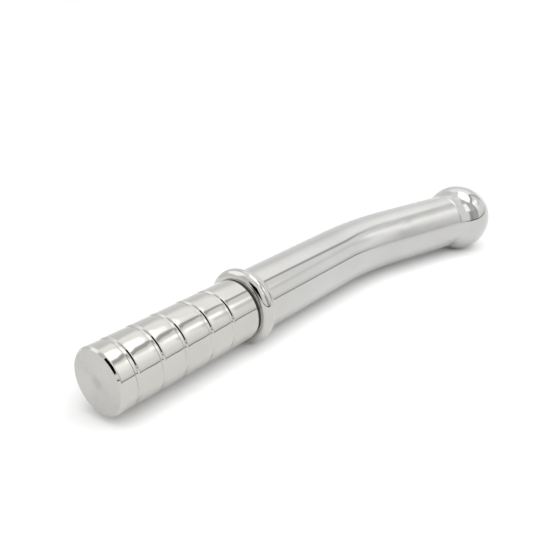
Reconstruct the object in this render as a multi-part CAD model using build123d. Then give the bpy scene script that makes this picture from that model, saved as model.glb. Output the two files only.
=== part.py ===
from build123d import *
import math
import os

# Polished steel hand wand with a grooved screw-off grip, a stop collar, a bent tube shaft and a ball end.
# Millimetres, +Z up. The origin is the centre of the butt face and the grip axis is +X.

# grip
GRIP_R = 12.35
GRIP_END = 66.3
GRIP_EDGE = 65.5
GRIP_END_R = 11.7
SLEEVE_BORE_R = 9.8
BUTT_BEVEL = 0.8
GROOVE_CENTRES = (7.4, 18.35, 28.9, 41.35, 52.35)
GROOVE_WIDTH = 2.0
GROOVE_FLOOR_WIDTH = 1.1
GROOVE_DEPTH = 0.65
GROOVE_FLOOR_FILLET = 0.3
GROOVE_EDGE_FILLET = 0.25

# end cap pressed into the butt end of the sleeve; the first groove hides the parting line
CAP_SPIGOT_END = 10.2

# tapped plug pressed into the other end of the sleeve
PLUG_START = 50.5
PLUG_NOSE_R = 9.0
PLUG_NOSE_GAP = 0.1
THREAD_R = 6.0
THREAD_CLEARANCE = 0.05
BORE_CHAMFER = 0.8

# flat seal between the grip and the collar
SEAL_THICKNESS = 0.6
SEAL_R = 11.85
SEAL_BORE_CLEARANCE = 0.1

# threaded stud and the pin that keeps it in the shaft
STUD_START = 52.0
STUD_END = 84.0
STUD_CHAMFER = 0.9
PIN_X = 78.0
PIN_R = 1.5

# tapped bush in the shaft
FLANGE_R = 12.25
FLANGE_THICKNESS = 0.8
BUSH_END = 86.0

# shaft tube
TUBE_R = 12.7
TUBE_WALL = 1.5
BEND_START = 131.5
BEND_ANGLE = 17.9
BEND_RADIUS = 117.5
STRAIGHT_TO_BALL = 47.0

# collar ring
COLLAR_X = 70.3
COLLAR_R = 15.3
COLLAR_BEAD_R = 3.0
COLLAR_FLARE_R = 3.0

# ball end
BALL_R = 15.875
BALL_WALL = 1.6
NECK_FILLET_R = 2.2

SEAL_START = GRIP_END
FLANGE_START = SEAL_START + SEAL_THICKNESS
TUBE_START = FLANGE_START + FLANGE_THICKNESS
TUBE_BORE_R = TUBE_R - TUBE_WALL
BALL_BORE_R = BALL_R - BALL_WALL


def box2d(x0, x1, r0, r1):
    """Rectangle in the half plane: x along the axis, y the radius."""
    return Pos((x0 + x1) / 2, (r0 + r1) / 2) * Rectangle(x1 - x0, r1 - r0)


def outline(*points):
    """Face bounded by straight lines through the given (x, radius) points."""
    return make_face(Polyline(*points, close=True))


def turned(profile):
    """Solid made by turning a half-plane profile about the X axis."""
    return revolve(profile, axis=Axis.X, revolution_arc=360)


def corners(profile, radius, low, high):
    """Corners of a profile at one radius whose x lies between two limits."""
    found = profile.vertices().filter_by(lambda v: abs(v.Y - radius) < 0.001)
    return found.filter_by(lambda v: low < v.X < high)


def grip_profile():
    """Outside of the whole grip, from the butt bevel to the end chamfer, with its grooves."""
    body = outline(
        (0, 0),
        (0, GRIP_R - BUTT_BEVEL),
        (BUTT_BEVEL, GRIP_R),
        (GRIP_EDGE, GRIP_R),
        (GRIP_END, GRIP_END_R),
        (GRIP_END, 0),
    )
    for x in GROOVE_CENTRES:
        body -= outline(
            (x - GROOVE_WIDTH / 2, GRIP_R),
            (x - GROOVE_FLOOR_WIDTH / 2, GRIP_R - GROOVE_DEPTH),
            (x + GROOVE_FLOOR_WIDTH / 2, GRIP_R - GROOVE_DEPTH),
            (x + GROOVE_WIDTH / 2, GRIP_R),
            (x + GROOVE_WIDTH / 2, GRIP_R + 1),
            (x - GROOVE_WIDTH / 2, GRIP_R + 1),
        )
    first = GROOVE_CENTRES[0] - GROOVE_WIDTH
    last = GROOVE_CENTRES[-1] + GROOVE_WIDTH
    body = fillet(corners(body, GRIP_R - GROOVE_DEPTH, first, last), GROOVE_FLOOR_FILLET)
    body = fillet(corners(body, GRIP_R, first, last), GROOVE_EDGE_FILLET)
    return fillet(corners(body, GRIP_R, 0, BUTT_BEVEL + 0.1), BUTT_BEVEL * 0.8)


def make_grip():
    """Sleeve and end cap, parted at the floor of the first groove."""
    whole = grip_profile()
    parting = GROOVE_CENTRES[0]
    sleeve = whole & box2d(parting, GRIP_END, SLEEVE_BORE_R, GRIP_R)
    cap = whole & box2d(0, parting, 0, GRIP_R)
    cap += box2d(parting, CAP_SPIGOT_END, 0, SLEEVE_BORE_R)
    return turned(sleeve), turned(cap)


def make_plug():
    """Tapped plug with a nose that carries the seal."""
    bore = THREAD_R + THREAD_CLEARANCE
    nose_end = FLANGE_START - PLUG_NOSE_GAP
    profile = box2d(PLUG_START, GRIP_END, bore, SLEEVE_BORE_R)
    profile += box2d(GRIP_END, nose_end, bore, PLUG_NOSE_R)
    mouth = outline((nose_end, bore - 1), (nose_end, bore + BORE_CHAMFER), (nose_end - BORE_CHAMFER - 1, bore - 1))
    return turned(profile - mouth)


def make_seal():
    """Flat ring washer round the nose of the plug."""
    return turned(box2d(SEAL_START, FLANGE_START, PLUG_NOSE_R + SEAL_BORE_CLEARANCE, SEAL_R))


def make_stud():
    """Stud with chamfered ends and a cross hole for its pin."""
    tip_r = THREAD_R - STUD_CHAMFER
    profile = outline(
        (STUD_START, 0),
        (STUD_START, tip_r),
        (STUD_START + STUD_CHAMFER, THREAD_R),
        (STUD_END - STUD_CHAMFER, THREAD_R),
        (STUD_END, tip_r),
        (STUD_END, 0),
    )
    return turned(profile) - cross_hole()


def cross_hole():
    """Vertical hole through the bush and the stud."""
    return Pos(PIN_X, 0, 0) * Cylinder(PIN_R, 2 * TUBE_BORE_R)


def make_bush():
    """Bush pressed into the tube, with a thin flange that faces the seal."""
    profile = box2d(FLANGE_START, TUBE_START, THREAD_R, FLANGE_R)
    profile += box2d(TUBE_START, BUSH_END, THREAD_R, TUBE_BORE_R)
    return turned(profile) - cross_hole()


def make_pin():
    """Dowel across the bush and the stud, just inside the tube."""
    reach = math.sqrt(TUBE_BORE_R ** 2 - PIN_R ** 2)
    return Pos(PIN_X, 0, 0) * Cylinder(PIN_R, 2 * reach)


def make_collar():
    """Round bead over the end of the tube, flared smoothly down to the tube behind it."""
    bead_centre_r = COLLAR_R - COLLAR_BEAD_R
    flare_rise = TUBE_R + COLLAR_FLARE_R - bead_centre_r
    flare_run = math.sqrt((COLLAR_BEAD_R + COLLAR_FLARE_R) ** 2 - flare_rise ** 2)
    flare_end = COLLAR_X + flare_run
    profile = Pos(COLLAR_X, bead_centre_r) * Circle(COLLAR_BEAD_R)
    flare_r = TUBE_R + COLLAR_FLARE_R
    web = outline((COLLAR_X, bead_centre_r), (flare_end, flare_r), (flare_end, TUBE_R), (COLLAR_X, bead_centre_r - 1))
    profile += web - Pos(flare_end, flare_r) * Circle(COLLAR_FLARE_R)
    profile -= box2d(COLLAR_X - COLLAR_R, TUBE_START, 0, FLANGE_R)
    profile -= box2d(TUBE_START, flare_end + 1, 0, TUBE_R)
    return turned(profile)


def bend_plane():
    """Plane of the bend: X along the grip, Y the way the shaft bends.

    It is tipped a little so that the collar and the ball touch one level surface.
    """
    turn = math.radians(BEND_ANGLE)
    sideways = BEND_RADIUS * (1 - math.cos(turn)) + STRAIGHT_TO_BALL * math.sin(turn)
    tip = math.asin((BALL_R - COLLAR_R) / sideways)
    return Plane((0, 0, 0), x_dir=(1, 0, 0), z_dir=(0, -math.sin(tip), -math.cos(tip)))


def ball_frame():
    """Frame at the centre of the ball with its X axis along the last part of the shaft."""
    turn = math.radians(BEND_ANGLE)
    x = BEND_START + BEND_RADIUS * math.sin(turn) + STRAIGHT_TO_BALL * math.cos(turn)
    y = BEND_RADIUS * (1 - math.cos(turn)) + STRAIGHT_TO_BALL * math.sin(turn)
    return bend_plane().location * Pos(x, y, 0) * Rot(0, 0, BEND_ANGLE)


def make_tube():
    """Bent tube from the bush flange to the inside of the ball."""
    turn = math.radians(BEND_ANGLE)
    inside_ball = math.sqrt(BALL_BORE_R ** 2 - TUBE_R ** 2)
    last = STRAIGHT_TO_BALL - inside_ball
    bend_end_x = BEND_START + BEND_RADIUS * math.sin(turn)
    bend_end_y = BEND_RADIUS * (1 - math.cos(turn))
    first_line = Line((TUBE_START, 0), (BEND_START, 0))
    bend = CenterArc((BEND_START, BEND_RADIUS), BEND_RADIUS, -90, BEND_ANGLE)
    last_line = Line(
        (bend_end_x, bend_end_y),
        (bend_end_x + last * math.cos(turn), bend_end_y + last * math.sin(turn)),
    )
    path = bend_plane().location * Wire([first_line.edge(), bend.edge(), last_line.edge()])
    start = Plane((TUBE_START, 0, 0), z_dir=(1, 0, 0))
    ring = start * (Circle(TUBE_R) - Circle(TUBE_BORE_R))
    return sweep(ring, path=path)


def make_ball():
    """Rear shell with its blended neck and front shell, welded at the middle."""
    neck_r = TUBE_R + NECK_FILLET_R
    neck_x = -math.sqrt((BALL_R + NECK_FILLET_R) ** 2 - neck_r ** 2)
    blend_x = neck_x * BALL_R / (BALL_R + NECK_FILLET_R)
    blend_r = neck_r * BALL_R / (BALL_R + NECK_FILLET_R)
    shell = Circle(BALL_R) - Circle(BALL_BORE_R)
    web = outline((neck_x, TUBE_R), (neck_x, neck_r), (blend_x, blend_r), (blend_x, TUBE_R))
    web -= Pos(neck_x, neck_r) * Circle(NECK_FILLET_R)
    rear = (shell & box2d(-BALL_R, 0, TUBE_R, BALL_R)) + web
    front = shell & box2d(0, BALL_R, 0, BALL_R)
    return ball_frame() * turned(rear), ball_frame() * turned(front)


sleeve, cap = make_grip()
rear_shell, front_shell = make_ball()

NODES = {
    "grip_sleeve": sleeve,
    "butt_cap": cap,
    "grip_plug": make_plug(),
    "seal_washer": make_seal(),
    "thread_stud": make_stud(),
    "stud_pin": make_pin(),
    "shaft_bush": make_bush(),
    "collar_ring": make_collar(),
    "shaft_tube": make_tube(),
    "ball_rear_shell": rear_shell,
    "ball_front_shell": front_shell,
}

os.makedirs("parts", exist_ok=True)
for name, shape in NODES.items():
    export_step(shape, f"parts/{name}.step")
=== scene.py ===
import math

import bpy
import numpy as np
from mathutils import Matrix, Vector


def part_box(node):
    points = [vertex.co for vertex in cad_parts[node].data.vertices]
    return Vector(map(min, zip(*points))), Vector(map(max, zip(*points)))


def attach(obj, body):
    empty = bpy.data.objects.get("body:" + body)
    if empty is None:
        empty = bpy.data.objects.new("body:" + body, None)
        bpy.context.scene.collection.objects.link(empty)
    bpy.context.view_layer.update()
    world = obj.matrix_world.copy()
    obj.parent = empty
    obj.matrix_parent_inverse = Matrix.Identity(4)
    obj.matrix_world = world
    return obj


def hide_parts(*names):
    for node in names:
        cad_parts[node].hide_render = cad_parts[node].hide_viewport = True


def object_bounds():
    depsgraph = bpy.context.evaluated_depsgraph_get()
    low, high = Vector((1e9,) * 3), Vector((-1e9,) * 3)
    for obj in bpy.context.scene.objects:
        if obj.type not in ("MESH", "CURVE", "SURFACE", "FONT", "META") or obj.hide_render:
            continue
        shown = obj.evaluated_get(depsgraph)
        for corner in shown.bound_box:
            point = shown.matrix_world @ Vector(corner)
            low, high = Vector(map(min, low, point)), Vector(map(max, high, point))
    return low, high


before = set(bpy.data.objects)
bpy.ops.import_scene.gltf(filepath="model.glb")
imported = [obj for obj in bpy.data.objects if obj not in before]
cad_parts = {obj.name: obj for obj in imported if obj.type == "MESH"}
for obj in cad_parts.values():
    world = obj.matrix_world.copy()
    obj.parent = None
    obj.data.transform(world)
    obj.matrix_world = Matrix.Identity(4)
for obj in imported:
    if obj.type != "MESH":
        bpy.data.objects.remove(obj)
cad_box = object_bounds()

# Sizes of the part, in metres, as the CAD model has them. Radii and ends come from the boxes of its nodes. The
# roll-off beside the grooves and the fillets belong to the visual model.
MM = 0.001
sleeve_low, sleeve_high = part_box("grip_sleeve")
GRIP_R = sleeve_high.z
PARTING = sleeve_low.x
GRIP_END = sleeve_high.x
GRIP_EDGE = GRIP_END - 0.8 * MM
GRIP_END_R = GRIP_R - 0.65 * MM
SLEEVE_BORE_R = 9.8 * MM
BEVEL = 0.8 * MM
CAP_SPIGOT_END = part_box("butt_cap")[1].x
GROOVES = [7.4 * MM, 18.35 * MM, 28.9 * MM, 41.35 * MM, 52.35 * MM]
GROOVE_WIDTH = 2.0 * MM
GROOVE_FLOOR_WIDTH = 1.1 * MM
GROOVE_DEPTH = 0.65 * MM
GROOVE_EDGE_FILLET = 0.4 * MM
GROOVE_FLOOR_FILLET = 0.3 * MM
ROLL_OFF = 1.4 * MM
ROLL_OFF_DEPTH = 0.055 * MM
ROLL_OFF_R = 60 * MM
FACE_FILLET = 0.12 * MM
BEVEL_FILLET = 0.64 * MM
PARTING_FILLET = 0.03 * MM
SPIGOT_FILLET = 0.2 * MM
GRIP_EDGE_FILLET = 0.35 * MM
GRIP_END_FILLET = 0.1 * MM

collar_low, collar_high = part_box("collar_ring")
COLLAR_R = collar_high.z
BEAD_R = 3.0 * MM
COLLAR_X = collar_low.x + BEAD_R
FLARE_R = 3.0 * MM
FLARE_END = collar_high.x

TUBE_R = 12.7 * MM
TUBE_BORE_R = 11.2 * MM
TUBE_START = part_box("shaft_tube")[0].x
BUSH_FLANGE_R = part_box("shaft_bush")[1].z
BEND_START = 131.5 * MM
BEND_ANGLE = math.radians(17.9)
BEND_RADIUS = 117.5 * MM
STRAIGHT_TO_BALL = 47.0 * MM
STREAK_ANGLE = BEND_ANGLE * 0.8
BALL_AT = BEND_START + BEND_RADIUS * BEND_ANGLE + STRAIGHT_TO_BALL

BALL_R = (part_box("ball_front_shell")[1].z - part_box("ball_front_shell")[0].z) / 2
BALL_BORE_R = BALL_R - 1.6 * MM
NECK_R = 2.2 * MM

STUD_LOW, STUD_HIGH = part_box("thread_stud")
THREAD_R = STUD_HIGH.z
THREAD_PITCH = 1.75 * MM
THREAD_DEPTH = 1.05 * MM
THREAD_ROOT = 0.12

FLOOR_Z = cad_box[0][2]
SEGMENTS = 256

# pieces of the mesh along each round stretch of a profile; fillets take theirs from the step, in radians
ARC_STEP = 0.12
MIN_ARC_PIECES = 4
BEAD_PIECES = 72
FLARE_PIECES = 20
NECK_PIECES = 24
REAR_PIECES = 48
FRONT_PIECES = 72
REAR_BORE_PIECES = 24
FRONT_BORE_PIECES = 36
TUBE_STATIONS = 177
STUD_SEGMENTS = 96
ROWS_PER_PITCH = 16
STUD_CHAMFER = 0.9 * MM
SAME_POINT = 1e-7
FLAT_FACE = 1e-6


# ---------------------------------------------------------------- geometry

def bend_plane():
    """Along the grip, the way the shaft bends, and the normal of the plane that it bends in."""
    sideways = BEND_RADIUS * (1 - math.cos(BEND_ANGLE)) + STRAIGHT_TO_BALL * math.sin(BEND_ANGLE)
    tip = math.asin((BALL_R - COLLAR_R) / sideways)
    return (np.array([1, 0, 0.0]), np.array([0, -math.cos(tip), math.sin(tip)]),
            np.array([0, math.sin(tip), math.cos(tip)]))


def path_point(s):
    """Point and direction on the centreline of the shaft, s metres along it from the butt face."""
    along, side, _ = bend_plane()
    turn = min(max((s - BEND_START) / BEND_RADIUS, 0), BEND_ANGLE)
    before = min(s, BEND_START)
    after = max(s - BEND_START - BEND_RADIUS * BEND_ANGLE, 0)
    x = before + BEND_RADIUS * math.sin(turn) + after * math.cos(turn)
    y = BEND_RADIUS * (1 - math.cos(turn)) + after * math.sin(turn)
    return along * x + side * y, along * math.cos(turn) + side * math.sin(turn)


def line(a, b):
    """Straight profile run: x, r and the normal on the left of its direction, at both ends."""
    a, b = np.array(a, float), np.array(b, float)
    d = (b - a) / np.linalg.norm(b - a)
    n = np.array([-d[1], d[0]])
    return [(*a, *n), (*b, *n)]


def arc(centre, radius, start, end, pieces, inside=False):
    """Round profile run between two angles in degrees; its normal points in for a hollow corner."""
    side = -1 if inside else 1
    out = []
    for a in np.radians(np.linspace(start, end, pieces + 1)):
        c, s = math.cos(a), math.sin(a)
        out.append((centre[0] + radius * c, centre[1] + radius * s, side * c, side * s))
    return out


def rounded(corners):
    """Closed profile through (x, r, fillet) corners, as runs; a fillet of 0 leaves the corner sharp."""
    runs, count = [], len(corners)
    pts = [np.array(c[:2], float) for c in corners]
    cut = []
    for i, (_, _, fillet) in enumerate(corners):
        before, after = pts[i - 1] - pts[i], pts[(i + 1) % count] - pts[i]
        if fillet <= 0:
            cut.append((pts[i], pts[i], None))
            continue
        u, v = before / np.linalg.norm(before), after / np.linalg.norm(after)
        half = math.acos(float(np.clip(u @ v, -1, 1))) / 2
        reach = fillet / math.tan(half)
        centre = pts[i] + (u + v) / np.linalg.norm(u + v) * fillet / math.sin(half)
        cut.append((pts[i] + u * reach, pts[i] + v * reach, centre))
    for i in range(count):
        start, end, centre = cut[i]
        if centre is not None:
            a0 = math.atan2(*(start - centre)[::-1])
            a1 = math.atan2(*(end - centre)[::-1])
            a1 = a0 + (a1 - a0 + math.pi) % (2 * math.pi) - math.pi
            pieces = max(MIN_ARC_PIECES, int(abs(a1 - a0) / ARC_STEP))
            radius = np.linalg.norm(start - centre)
            # a right-hand turn is a corner of solid material, a left-hand one is hollow
            runs.append(arc(centre, radius, math.degrees(a0), math.degrees(a1), pieces, inside=a1 > a0))
        nxt = cut[(i + 1) % count][0]
        if np.linalg.norm(nxt - end) > SAME_POINT:
            runs.append(line(end, nxt))
    return runs


def turned(name, runs, body, where=None, material_of=None):
    """Closed lathe mesh about X from profile runs, with the exact normal at every corner of every face."""
    samples, spans = [], []
    for run in runs:
        for a, b in zip(run, run[1:]):
            if not samples or math.dist(samples[-1], a[:2]) > SAME_POINT:
                samples.append(a[:2])
            first = len(samples) - 1
            samples.append(b[:2])
            spans.append([first, len(samples) - 1, a, b])
    if math.dist(samples[0], samples[-1]) < SAME_POINT:
        samples.pop()
        spans[-1][1] = 0
    angle = np.linspace(0, 2 * math.pi, SEGMENTS, endpoint=False)
    ca, sa = np.cos(angle), np.sin(angle)
    verts, first_of, polar = [], [], []
    for x, r in samples:
        first_of.append(len(verts))
        polar.append(r < SAME_POINT)
        if r < SAME_POINT:
            verts.append((x, 0, 0))
        else:
            verts += [(x, r * c, r * s) for c, s in zip(ca, sa)]
    faces, normals, slots = [], [], []
    for i, j, a, b in spans:
        if polar[i] and polar[j]:
            continue
        which = material_of(a, b) if material_of else 0
        for k in range(SEGMENTS):
            m = (k + 1) % SEGMENTS
            na = [(a[2], a[3] * ca[q], a[3] * sa[q]) for q in (k, m)]
            nb = [(b[2], b[3] * ca[q], b[3] * sa[q]) for q in (k, m)]
            if polar[i]:
                faces.append((first_of[i], first_of[j] + m, first_of[j] + k))
                normals += [(a[2], 0, 0), nb[1], nb[0]]
            elif polar[j]:
                faces.append((first_of[i] + k, first_of[i] + m, first_of[j]))
                normals += [na[0], na[1], (b[2], 0, 0)]
            else:
                faces.append((first_of[i] + k, first_of[i] + m, first_of[j] + m, first_of[j] + k))
                normals += [na[0], na[1], nb[1], nb[0]]
            slots.append(which)
    return solid(name, verts, faces, body, where, normals, slots)


def solid(name, verts, faces, body, where=None, normals=None, slots=None):
    """Mesh piece that rides on a CAD body, placed by where if that is given."""
    mesh = bpy.data.meshes.new(name)
    where = where or Matrix.Identity(4)
    turn = np.array(where.to_3x3())
    verts = np.array(verts, float) @ turn.T + np.array(where.translation)
    mesh.from_pydata(verts.tolist(), [], faces)
    mesh.polygons.foreach_set("use_smooth", [True] * len(faces))
    if slots:
        mesh.polygons.foreach_set("material_index", slots)
    mesh.update()
    if normals:
        mesh.normals_split_custom_set((np.array(normals, float) @ turn.T).tolist())
    obj = bpy.data.objects.new(name, mesh)
    bpy.context.scene.collection.objects.link(obj)
    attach(obj, body)
    return obj


def groove_corners(x):
    """One turned groove met from the butt side: sloped walls, and lands rolled off by polishing."""
    wide, narrow = GROOVE_WIDTH / 2, GROOVE_FLOOR_WIDTH / 2
    edge, floor = GRIP_R - ROLL_OFF_DEPTH, GRIP_R - GROOVE_DEPTH
    return [
        (x - wide - ROLL_OFF, GRIP_R, ROLL_OFF_R),
        (x - wide, edge, GROOVE_EDGE_FILLET),
        (x - narrow, floor, GROOVE_FLOOR_FILLET),
        (x + narrow, floor, GROOVE_FLOOR_FILLET),
        (x + wide, edge, GROOVE_EDGE_FILLET),
        (x + wide + ROLL_OFF, GRIP_R, ROLL_OFF_R),
    ]


def make_cap():
    """End cap: satin turned face, polished bevel, half of the first groove and the spigot."""
    near = groove_corners(PARTING)[:3]
    corners = [
        (0, 0, 0), (0, GRIP_R - BEVEL, FACE_FILLET), (BEVEL, GRIP_R, BEVEL_FILLET),
        *near, (PARTING, GRIP_R - GROOVE_DEPTH, PARTING_FILLET), (PARTING, SLEEVE_BORE_R, 0),
        (CAP_SPIGOT_END, SLEEVE_BORE_R, SPIGOT_FILLET), (CAP_SPIGOT_END, 0, 0),
    ]
    runs = rounded(corners)

    def face(a, b):
        return 1 if max(a[0], b[0]) < FLAT_FACE else 0

    return turned("cap_visual", runs, "grip", material_of=face)


def make_sleeve():
    """Sleeve of the grip with its grooves and end chamfer."""
    first = groove_corners(GROOVES[0])[3:]
    corners = [(PARTING, SLEEVE_BORE_R, 0), (PARTING, GRIP_R - GROOVE_DEPTH, PARTING_FILLET), *first]
    for x in GROOVES[1:]:
        corners += groove_corners(x)
    corners += [
        (GRIP_EDGE, GRIP_R, GRIP_EDGE_FILLET), (GRIP_END, GRIP_END_R, GRIP_END_FILLET),
        (GRIP_END, SLEEVE_BORE_R, 0),
    ]
    return turned("sleeve_visual", rounded(corners), "grip")


def make_collar():
    """Round bead with a flare that runs out on the tube."""
    centre = (COLLAR_X, COLLAR_R - BEAD_R)
    flare_centre = (FLARE_END, TUBE_R + FLARE_R)
    meet = math.degrees(math.atan2(flare_centre[1] - centre[1], flare_centre[0] - centre[0]))
    front = TUBE_START
    start = math.pi - math.asin((BUSH_FLANGE_R - centre[1]) / BEAD_R)
    front_point = (centre[0] + BEAD_R * math.cos(start), centre[1] + BEAD_R * math.sin(start))
    runs = [
        arc(centre, BEAD_R, math.degrees(start), meet, BEAD_PIECES),
        arc(flare_centre, FLARE_R, 180 + meet, 270, FLARE_PIECES, inside=True),
        line((FLARE_END, TUBE_R), (front, TUBE_R)),
        line((front, TUBE_R), (front, BUSH_FLANGE_R)),
        line((front, BUSH_FLANGE_R), front_point),
    ]
    return turned("collar_visual", runs, "shaft")


def make_ball():
    """Rear half with its blended neck and front half, as one polished surface."""
    end, heading = path_point(BALL_AT)
    _, _, up = bend_plane()
    side = np.cross(up, heading)
    where = Matrix(np.column_stack([heading, side, up]).tolist()).to_4x4()
    where.translation = Vector(end)
    neck_r = TUBE_R + NECK_R
    neck_x = -math.sqrt((BALL_R + NECK_R) ** 2 - neck_r ** 2)
    meet = math.degrees(math.atan2(neck_r, neck_x))
    bore = math.degrees(math.asin(TUBE_R / BALL_BORE_R))
    bore_x = -math.sqrt(BALL_BORE_R ** 2 - TUBE_R ** 2)
    rear = [
        line((bore_x, TUBE_R), (neck_x, TUBE_R)),
        arc((neck_x, neck_r), NECK_R, 270, 180 + meet, NECK_PIECES, inside=True),
        arc((0, 0), BALL_R, meet, 90, REAR_PIECES),
        line((0, BALL_R), (0, BALL_BORE_R)),
        arc((0, 0), BALL_BORE_R, 90, 180 - bore, REAR_BORE_PIECES, inside=True),
    ]
    front = [
        line((0, BALL_BORE_R), (0, BALL_R)),
        arc((0, 0), BALL_R, 90, 0, FRONT_PIECES),
        line((BALL_R, 0), (BALL_BORE_R, 0)),
        arc((0, 0), BALL_BORE_R, 0, 90, FRONT_BORE_PIECES, inside=True),
    ]
    rear_piece = turned("ball_rear_visual", rear, "shaft", where)
    return rear_piece, turned("ball_front_visual", front, "shaft", where)


# Small hollows left in the tube by bending: distance along it, angle round it (0 at the top, 90 towards the
# inside of the bend), half length, half width and depth, in millimetres and degrees.
DENTS = (
    (172.0, 46.0, 3.0, 9.0, 0.12),
    (158.0, 40.0, 6.0, 7.0, 0.03),
    (144.0, 55.0, 5.0, 8.0, 0.03),
    (126.5, 124.0, 2.5, 14.0, 0.12),
    (162.0, 128.0, 2.5, 14.0, 0.12),
)


def make_tube():
    """Bent tube, closed at both ends by its wall."""
    inside = math.sqrt(BALL_BORE_R ** 2 - TUBE_R ** 2)
    total = BALL_AT - inside
    _, _, up = bend_plane()
    round_ = np.linspace(0, 2 * math.pi, SEGMENTS, endpoint=False)
    outer, inner = [], []
    for s in np.linspace(TUBE_START, total, TUBE_STATIONS):
        p, d = path_point(s)
        side = np.cross(d, up)
        sunk = np.zeros(SEGMENTS)
        for at, angle, half_length, half_width, depth in DENTS:
            gap = (np.degrees(round_) - angle + 180) % 360 - 180
            sunk += depth * MM * np.exp(-((s / MM - at) / half_length) ** 2 - (gap / half_width) ** 2)
        ring = np.outer(np.cos(round_), up) + np.outer(np.sin(round_), side)
        outer.append(p + ring * (TUBE_R - sunk)[:, None])
        inner.append(p + ring * TUBE_BORE_R)
    verts = np.vstack(outer + inner)
    faces = []
    inner_from = TUBE_STATIONS * SEGMENTS
    for j in range(TUBE_STATIONS - 1):
        for k in range(SEGMENTS):
            m = (k + 1) % SEGMENTS
            a, b = j * SEGMENTS, (j + 1) * SEGMENTS
            faces.append((a + k, a + m, b + m, b + k))
            faces.append((inner_from + a + k, inner_from + b + k, inner_from + b + m, inner_from + a + m))
    last = (TUBE_STATIONS - 1) * SEGMENTS
    for k in range(SEGMENTS):
        m = (k + 1) % SEGMENTS
        faces.append((k, inner_from + k, inner_from + m, m))
        faces.append((last + k, last + m, inner_from + last + m, inner_from + last + k))
    return solid("tube_visual", verts, faces, "shaft")


def make_stud():
    """Stud with a real right-hand thread and chamfered ends."""
    turns_round = STUD_SEGMENTS
    start, end = STUD_LOW.x, STUD_HIGH.x
    rows = int((end - start) / THREAD_PITCH * ROWS_PER_PITCH)
    verts, faces = [(start, 0, 0)], []
    for j in range(rows + 1):
        x = start + (end - start) * j / rows
        from_end = min(x - start, end - x, STUD_CHAMFER)
        for k in range(turns_round):
            a = 2 * math.pi * k / turns_round
            phase = ((x - start) / THREAD_PITCH - k / turns_round) % 1
            flank = abs(2 * phase - 1)
            height = min(max((flank - THREAD_ROOT) / (1 - 2 * THREAD_ROOT), 0), 1)
            r = min(THREAD_R - THREAD_DEPTH * (1 - height), THREAD_R - STUD_CHAMFER + from_end)
            verts.append((x, r * math.cos(a), r * math.sin(a)))
    verts.append((end, 0, 0))
    for k in range(turns_round):
        m = (k + 1) % turns_round
        faces.append((0, 1 + m, 1 + k))
        faces.append((len(verts) - 1, 1 + rows * turns_round + k, 1 + rows * turns_round + m))
        for j in range(rows):
            a, b = 1 + j * turns_round, 1 + (j + 1) * turns_round
            faces.append((a + k, a + m, b + m, b + k))
    return solid("stud_visual", verts, faces, "shaft")


# ---------------------------------------------------------------- node helpers

class Nodes:
    """Short ways to build a node tree."""

    def __init__(self, tree):
        self.tree = tree

    def add(self, kind, **settings):
        node = self.tree.nodes.new(kind)
        for key, value in settings.items():
            setattr(node, key, value)
        return node

    def put(self, socket, value):
        if isinstance(value, bpy.types.NodeSocket):
            self.tree.links.new(value, socket)
        else:
            socket.default_value = value

    def math(self, operation, *values):
        node = self.add("ShaderNodeMath", operation=operation)
        for socket, value in zip(node.inputs, values):
            self.put(socket, value)
        return node.outputs[0]

    def plus(self, *values):
        total = values[0]
        for v in values[1:]:
            total = self.math("ADD", total, v)
        return total

    def times(self, *values):
        total = values[0]
        for v in values[1:]:
            total = self.math("MULTIPLY", total, v)
        return total

    def rise(self, value, low, high, start=0.0, end=1.0):
        """Smooth step of a value from start at low to end at high."""
        node = self.add("ShaderNodeMapRange", interpolation_type="SMOOTHSTEP")
        for socket, v in zip(node.inputs[:5], (value, low, high, start, end)):
            self.put(socket, v)
        return node.outputs[0]

    def window(self, value, low, high, soft):
        """1 between low and high, falling to 0 over soft outside them."""
        return self.times(self.rise(value, low - soft, low), self.rise(value, high, high + soft, 1.0, 0.0))

    def bell(self, value, centre, half):
        """Round hump: 1 at centre, 0 from half away."""
        off = self.math("ABSOLUTE", self.math("SUBTRACT", value, centre))
        return self.rise(off, 0.0, half, 1.0, 0.0)

    def blend(self, amount, a, b):
        node = self.add("ShaderNodeMix", data_type="FLOAT")
        for socket, v in zip(node.inputs[:1] + node.inputs[2:4], (amount, a, b)):
            self.put(socket, v)
        return node.outputs[0]

    def split(self, vector):
        """The x, y and z of a vector."""
        node = self.add("ShaderNodeSeparateXYZ")
        self.put(node.inputs[0], vector)
        return node.outputs

    def colour(self, amount, a, b):
        """Mix of two colours, each an (r, g, b) or a socket."""
        node = self.add("ShaderNodeMix", data_type="RGBA")
        self.put(node.inputs[0], amount)
        for socket, v in zip(node.inputs[6:8], (a, b)):
            self.put(socket, (*v, 1) if isinstance(v, tuple) else v)
        return node.outputs[2]

    def noise(self, vector, scale, detail=2.0, rough=0.5):
        node = self.add("ShaderNodeTexNoise")
        self.put(node.inputs["Vector"], vector)
        node.inputs["Scale"].default_value = scale
        node.inputs["Detail"].default_value = detail
        node.inputs["Roughness"].default_value = rough
        node.inputs["Distortion"].default_value = 0.0
        return node.outputs[0]


# ---------------------------------------------------------------- light

EXPOSURE = 1.19
ROOM_FILL = 0.35
BACKDROP = 1.0

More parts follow.
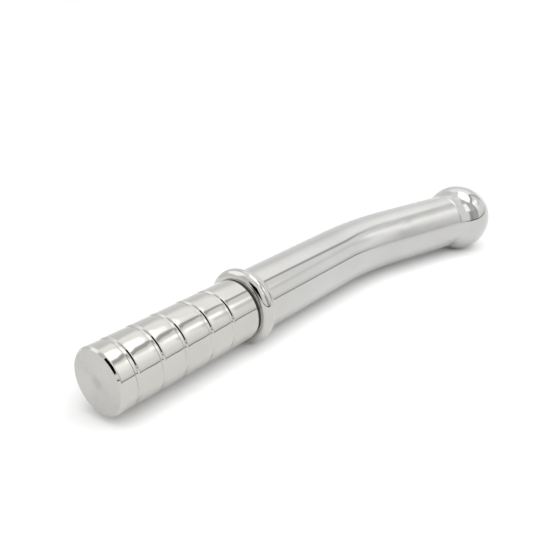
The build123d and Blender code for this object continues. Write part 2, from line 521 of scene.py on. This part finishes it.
# What the steel mirrors, by direction in degrees: azimuth from the +X axis and elevation above the horizon. A
# patch is (from, to, softness) in azimuth, the same in elevation, and its level.
WALL, NEAR_WALL = 0.83, 0.97
NEAR_WALL_AZ = (-170.0, -112.0, 12.0)
CEILING, CEILING_LEFT, ZENITH = 1.0, 0.75, 1.12
CEILING_LEFT_AZ = (-88.0, -60.0, 20.0)
OVERHEAD_BOX = ((-72.0, 20.0, 8.0), (57.0, 80.0, 5.5), 1.9)
LEFT_DARK = ((-102.0, -70.0, 4.0), (-3.0, 28.0, 5.0), 0.54)
LEFT_GAP = ((-92.0, -74.0, 4.0), (34.0, 58.0, 5.0), 0.64)
SIDE_BOX = ((-113.0, -97.0, 4.0), (36.0, 58.0, 5.0), 1.45)
ABOVE_SIDE_BOX = ((-115.0, -92.0, 5.0), (63.0, 74.0, 4.0), 0.7)
FAR_TABLE = ((-5.0, 22.0, 14.0), (-2.0, 14.0, 8.0), 0.32)

# patches behind the butt, with the azimuth from the -X axis because they lie astride the half turn
GREY_STRIP = ((-32.0, -18.0, 4.0), (27.0, 50.0, 5.0), 0.72)
BLACK_CARD = ((-9.0, 26.0, 2.5), (6.0, 40.0, 2.5), 0.0)
FAR_BOX = ((-90.0, -46.0, 12.0), (30.0, 64.0, 10.0), 1.4)

# front softbox: centre and half sizes of its square part, the roundness of its corners and its dark frame
FRONT_AZ, FRONT_HALF_AZ = -41.0, 17.0
FRONT_EL, FRONT_HALF_EL = 26.0, 15.0
FRONT_EDGE = (6.0, 11.0)
FRAME_EDGE = (8.5, 11.5, 4.0)
FRAME_LEVEL = 0.52
HORIZON_BAND, TABLE_LEVEL = 0.80, 1.05


def studio():
    """White room with overhead, front and side softboxes parted by dark gaps, and a black card."""
    world = bpy.data.worlds.new("studio")
    bpy.context.scene.world = world
    world.use_nodes = True
    tree = world.node_tree
    tree.nodes.clear()
    n = Nodes(tree)
    x, y, z = n.split(n.add("ShaderNodeTexCoord").outputs["Generated"])
    deg = 180 / math.pi
    el = n.times(n.math("ARCSINE", z), deg)
    az = n.times(n.math("ARCTAN2", y, x), deg)
    back = n.times(n.math("ARCTAN2", n.times(y, -1.0), n.times(x, -1.0)), deg)

    def where(patch, around=az):
        """1 inside a patch of the room, 0 outside it."""
        return n.times(n.window(around, *patch[0]), n.window(el, *patch[1]))

    def painted(level, patch, around=az):
        """The room with a patch at its own level."""
        return n.blend(where(patch, around), level, patch[2])

    # walls, lighter on the camera's side, and the ceiling, darker on the left and lightest at the zenith
    level = n.blend(n.window(az, *NEAR_WALL_AZ), WALL, NEAR_WALL)
    ceiling = n.blend(n.window(az, *CEILING_LEFT_AZ), CEILING, CEILING_LEFT)
    level = n.blend(n.rise(el, 56.0, 66.0), level, ceiling)
    level = n.blend(n.rise(el, 80.0, 86.0), level, ZENITH)

    # overhead softbox, with a long fade down its near side
    spill = n.times(n.window(az, -8.0, 42.0, 10.0), n.rise(el, 24.0, 46.0), n.rise(el, 54.0, 62.0, 1.0, 0.0))
    level = n.plus(level, n.times(spill, 0.40))
    level = painted(level, OVERHEAD_BOX)

    # dark side of the room on the left, with a darker stand in it
    dark = where(LEFT_DARK)
    level = painted(painted(level, LEFT_DARK), LEFT_GAP)
    level = n.plus(level, n.times(dark, n.bell(az, -95.0, 9.0), -0.12))

    # front softbox: its cloth has two hot lobes, a brighter left end and a dull bar across it
    reach_az = n.math("ABSOLUTE", n.plus(az, -FRONT_AZ))
    reach_az = n.math("MAXIMUM", n.math("SUBTRACT", reach_az, FRONT_HALF_AZ), 0.0)
    reach_el = n.math("ABSOLUTE", n.plus(el, -FRONT_EL))
    reach_el = n.math("MAXIMUM", n.math("SUBTRACT", reach_el, FRONT_HALF_EL), 0.0)
    away = n.math("SQRT", n.plus(n.times(reach_az, reach_az), n.times(reach_el, reach_el)))
    cloth = n.plus(
        n.blend(n.rise(el, 5.0, 12.0), 0.9, 1.0),
        n.times(n.bell(el, 37.0, 8.0), n.bell(az, -39.5, 9.5), 0.85),
        n.times(n.bell(el, 41.0, 7.0), n.bell(az, -57.0, 10.0), 0.5),
        n.times(n.window(az, -66.0, -47.0, 4.0), n.rise(el, 12.0, 38.0), 0.34),
        n.times(n.bell(el, 27.0, 6.0), n.rise(az, -50.0, -44.0), -0.12),
    )
    level = n.blend(n.rise(away, *FRONT_EDGE, 1.0, 0.0), level, cloth)
    level = n.blend(n.times(n.window(away, *FRAME_EDGE), n.rise(el, 8.0, 20.0)), level, FRAME_LEVEL)

    # side softbox with dark above it, then what stands behind the butt
    level = painted(painted(level, SIDE_BOX), ABOVE_SIDE_BOX)
    for patch in (GREY_STRIP, BLACK_CARD, FAR_BOX):
        level = painted(level, patch, back)

    # table edge: a grey band and a thin dark line, darkest on the left, then the white sweep below
    wave = n.times(n.math("SINE", n.times(az, 0.12)), 0.8)
    edge_el = n.math("SUBTRACT", el, wave)
    band = n.times(n.rise(edge_el, 2.0, 8.0, 1.0, 0.0), n.math("SUBTRACT", 1.0, dark))
    level = n.blend(band, level, HORIZON_BAND)
    level = n.plus(level, n.times(where(FAR_TABLE), FAR_TABLE[2]))
    thin = n.times(n.bell(edge_el, 0.4, 3.0), n.rise(az, -40.0, -28.0, 1.0, 0.0))
    level = n.blend(thin, level, n.rise(az, -60.0, -44.0, 0.0, 0.34))
    level = n.blend(n.rise(edge_el, -2.0, 0.0, 1.0, 0.0), level, TABLE_LEVEL)
    level = n.times(level, EXPOSURE)

    # the room fills the shadows less than it shows in the steel, and is plain white to the camera
    rays = n.add("ShaderNodeLightPath").outputs
    level = n.times(level, n.blend(rays["Is Diffuse Ray"], 1.0, ROOM_FILL))
    level = n.blend(rays["Is Camera Ray"], level, BACKDROP)
    light = n.add("ShaderNodeBackground")
    n.put(light.inputs["Strength"], level)
    light.inputs["Color"].default_value = (1.0, 1.0, 1.0, 1.0)
    out = n.add("ShaderNodeOutputWorld")
    tree.links.new(light.outputs[0], out.inputs["Surface"])


# ---------------------------------------------------------------- materials

def new_material(name):
    material = bpy.data.materials.new(name)
    material.use_nodes = True
    tree = material.node_tree
    tree.nodes.clear()
    n = Nodes(tree)
    shader = n.add("ShaderNodeBsdfPrincipled")
    out = n.add("ShaderNodeOutputMaterial")
    tree.links.new(shader.outputs[0], out.inputs["Surface"])
    place = n.add("ShaderNodeTexCoord").outputs["Object"]
    return material, n, shader, place


def stretched(n, place, scale):
    node = n.add("ShaderNodeMapping")
    n.put(node.inputs["Vector"], place)
    node.inputs["Scale"].default_value = scale
    return node.outputs[0]


def bumped(n, shader, height, distance):
    node = n.add("ShaderNodeBump")
    node.inputs["Strength"].default_value = 1.0
    node.inputs["Distance"].default_value = distance
    n.put(node.inputs["Height"], height)
    n.tree.links.new(node.outputs[0], shader.inputs["Normal"])


# where the duller finish of the bent part sets in, along X, and where it ends, short of the ball's centre
WORKED_FROM = (BEND_START - 5 * MM, BEND_START + 25 * MM)
WORKED_TO = (6.5 * MM, 9.3 * MM)
RING_PITCH = 0.16 * MM


def polished_steel(name="polished_steel_visual", bent=False):
    """Mirror steel: faint polishing waves, hairline marks and a soft bloom where hands have been.

    The bent part of the tube is duller, with streaks along it left by drawing it round the former.
    """
    material, n, shader, place = new_material(name)
    waves = n.noise(stretched(n, place, (0.4, 1.0, 1.0)), 90.0, 1.0)
    hair = n.noise(stretched(n, place, (0.05, 1.0, 1.0)), 5200.0, 2.0, 0.6)
    bloom = n.noise(place, 60.0, 3.0, 0.55)
    tone = n.rise(bloom, 0.3, 0.7)
    along, _, _ = n.split(place)
    grip_tint = n.colour(tone, (0.508, 0.498, 0.471), (0.533, 0.524, 0.497))
    shaft_tint = n.colour(tone, (0.505, 0.502, 0.491), (0.53, 0.528, 0.517))
    colour = n.colour(n.rise(along, 0.05, 0.10), grip_tint, shaft_tint)
    rough = n.plus(n.times(tone, 0.02), n.times(n.rise(hair, 0.35, 0.7), 0.02), 0.03)
    height = n.plus(waves, n.times(hair, 0.0015))
    if bent:
        drawn = n.add("ShaderNodeVectorRotate", rotation_type="Z_AXIS")
        n.put(drawn.inputs["Vector"], place)
        drawn.inputs["Angle"].default_value = STREAK_ANGLE
        streaks = n.noise(stretched(n, drawn.outputs[0], (0.03, 1.0, 1.0)), 420.0, 2.0, 0.5)
        worked = n.rise(along, *WORKED_FROM)
        centre, heading = path_point(BALL_AT)
        onward = n.add("ShaderNodeVectorMath", operation="DOT_PRODUCT")
        n.put(onward.inputs[0], place)
        onward.inputs[1].default_value = heading
        to_ball = n.math("SUBTRACT", float(centre @ heading), onward.outputs["Value"])
        worked = n.times(worked, n.rise(to_ball, *WORKED_TO))
        rough = n.plus(rough, n.times(worked, n.rise(streaks, 0.35, 0.65, 0.185, 0.215)))
        height = n.times(height, n.rise(worked, 0.0, 1.0, 1.0, 0.2))
        streak_tint = n.colour(tone, (0.515, 0.512, 0.50), (0.535, 0.532, 0.52))
        colour = n.colour(n.times(worked, n.rise(streaks, 0.35, 0.65)), colour, streak_tint)
    n.put(shader.inputs["Base Color"], colour)
    shader.inputs["Metallic"].default_value = 1.0
    n.put(shader.inputs["Roughness"], rough)
    bumped(n, shader, height, 0.00001)
    return material


def turned_steel():
    """Satin face cut on a lathe: fine rings about the axis, a little coarser near the centre."""
    material, n, shader, place = new_material("turned_face_visual")
    _, y, z = n.split(place)
    radius = n.math("SQRT", n.plus(n.times(y, y), n.times(z, z)))
    rings = n.math("SINE", n.times(radius, 2 * math.pi / RING_PITCH))
    flat = n.add("ShaderNodeCombineXYZ")
    n.put(flat.inputs[0], radius)
    uneven = n.noise(flat.outputs[0], 2600.0, 3.0, 0.6)
    cloud = n.noise(place, 140.0, 2.0)
    tone = n.plus(n.times(uneven, 0.5), n.times(cloud, 0.5))
    # base colour darker towards the centre of the face and in cloudy patches, lighter elsewhere
    darker_tone = n.colour(cloud, (0.40, 0.393, 0.38), (0.46, 0.452, 0.438))
    lighter_tone = n.colour(tone, (0.455, 0.447, 0.432), (0.56, 0.552, 0.535))
    centre = n.plus(n.rise(radius, 0.0, 0.0035, 0.8, 0.0), n.times(n.rise(cloud, 0.45, 0.65), 0.35))
    n.put(shader.inputs["Base Color"], n.colour(centre, lighter_tone, darker_tone))
    shader.inputs["Metallic"].default_value = 1.0
    n.put(shader.inputs["Roughness"], n.plus(n.times(uneven, 0.08), n.rise(radius, 0.0, 0.004, 0.36, 0.24)))
    shader.inputs["Anisotropic"].default_value = 0.8
    tangent = n.add("ShaderNodeTangent", direction_type="RADIAL", axis="X")
    n.tree.links.new(tangent.outputs[0], shader.inputs["Tangent"])
    bumped(n, shader, n.plus(n.times(rings, 0.25), uneven), 0.000004)
    return material


def machined_steel():
    """Plain machined steel: tool marks round the axis, duller than the polished pieces."""
    material, n, shader, place = new_material("machined_steel_visual")
    marks = n.noise(stretched(n, place, (1.0, 0.03, 0.03)), 4200.0, 3.0, 0.6)
    smear = n.noise(place, 240.0, 3.0)
    n.put(shader.inputs["Base Color"], n.colour(smear, (0.42, 0.415, 0.405), (0.56, 0.555, 0.545)))
    shader.inputs["Metallic"].default_value = 1.0
    n.put(shader.inputs["Roughness"], n.plus(n.times(marks, 0.14), 0.2))
    bumped(n, shader, marks, 0.00002)
    return material


def seal_rubber():
    """Black moulded rubber with a faint dusty bloom."""
    material, n, shader, place = new_material("seal_rubber_visual")
    dust = n.noise(place, 900.0, 3.0)
    n.put(shader.inputs["Base Color"], n.colour(dust, (0.008, 0.008, 0.008), (0.03, 0.03, 0.03)))
    n.put(shader.inputs["Roughness"], n.plus(n.times(dust, 0.2), 0.5))
    bumped(n, shader, dust, 0.00003)
    return material


def floor_paper():
    material, n, shader, place = new_material("floor_paper")
    grain = n.noise(place, 300.0, 2.0)
    n.put(shader.inputs["Base Color"], n.colour(grain, (0.86, 0.86, 0.86), (0.88, 0.88, 0.88)))
    shader.inputs["Roughness"].default_value = 0.9
    shader.inputs["Specular IOR Level"].default_value = 0.1
    return material


# ---------------------------------------------------------------- assembly

steel, face, machined, rubber = polished_steel(), turned_steel(), machined_steel(), seal_rubber()
tube_steel = polished_steel("bent_steel_visual", bent=True)


def finish_piece(piece, slot, nodes, *materials):
    """Gives a piece its materials and hides the CAD nodes that it stands for; slot is not used."""
    for material in materials:
        piece.data.materials.append(material)
    if nodes:
        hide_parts(*nodes)


finish_piece(make_cap(), "turned_steel", ["butt_cap"], steel, face)
finish_piece(make_sleeve(), "polished_steel", ["grip_sleeve"], steel)
finish_piece(make_collar(), "polished_steel", ["collar_ring"], steel)
finish_piece(make_tube(), "polished_steel", ["shaft_tube"], tube_steel)
ball_rear, ball_front = make_ball()
finish_piece(ball_rear, "polished_steel", ["ball_rear_shell"], tube_steel)
finish_piece(ball_front, "polished_steel", ["ball_front_shell"], steel)
finish_piece(make_stud(), "machined_steel", ["thread_stud"], machined)
for node, material in (("grip_plug", machined), ("shaft_bush", machined), ("stud_pin", machined),
                       ("seal_washer", rubber)):
    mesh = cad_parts[node].data
    mesh.materials.clear()
    mesh.materials.append(material)

FLOOR_HALF = 2.5
floor_signs = ((-1, -1), (1, -1), (1, 1), (-1, 1))
floor_mesh = bpy.data.meshes.new("floor")
floor_points = [(FLOOR_HALF * a, FLOOR_HALF * b, FLOOR_Z) for a, b in floor_signs]
floor_mesh.from_pydata(floor_points, [], [(0, 1, 2, 3)])
floor = bpy.data.objects.new("floor", floor_mesh)
floor_mesh.materials.append(floor_paper())
bpy.context.scene.collection.objects.link(floor)

# broad light for the floor and the shadow on it; the steel mirrors the studio instead of it
FILL_TOWARDS = (-0.2, -0.55, 0.82)
FILL_SPREAD = math.radians(95)
FILL_ENERGY = 3.5
studio()
fill = bpy.data.objects.new("fill", bpy.data.lights.new("fill", "SUN"))
bpy.context.scene.collection.objects.link(fill)
fill.data.angle = FILL_SPREAD
fill.data.energy = FILL_ENERGY
fill.rotation_euler = Vector(FILL_TOWARDS).normalized().to_track_quat("Z", "Y").to_euler()
fill.visible_glossy = False

# camera: in front of the butt, to the left of the wand and above it
CAMERA_AT = (-0.11848, -0.17487, 0.11928)
CAMERA_RIGHT = (0.62703, -0.77822, -0.03471)
CAMERA_BACK = (-0.70949, -0.58892, 0.38703)
CAMERA_LENS = 47.36
CAMERA_SENSOR = 36
camera = bpy.data.objects.new("camera", bpy.data.cameras.new("camera"))
bpy.context.scene.collection.objects.link(camera)
camera.data.sensor_width = CAMERA_SENSOR
camera.data.lens = CAMERA_LENS
camera.data.clip_start = 10 * MM
camera.data.dof.use_dof = False
back_way = Vector(CAMERA_BACK).normalized()
up_way = back_way.cross(Vector(CAMERA_RIGHT).normalized()).normalized()
pose = Matrix((up_way.cross(back_way), up_way, back_way)).transposed().to_4x4()
pose.translation = Vector(CAMERA_AT)
camera.matrix_world = pose
bpy.context.scene.camera = camera
bpy.context.scene.view_settings.view_transform = "Standard"
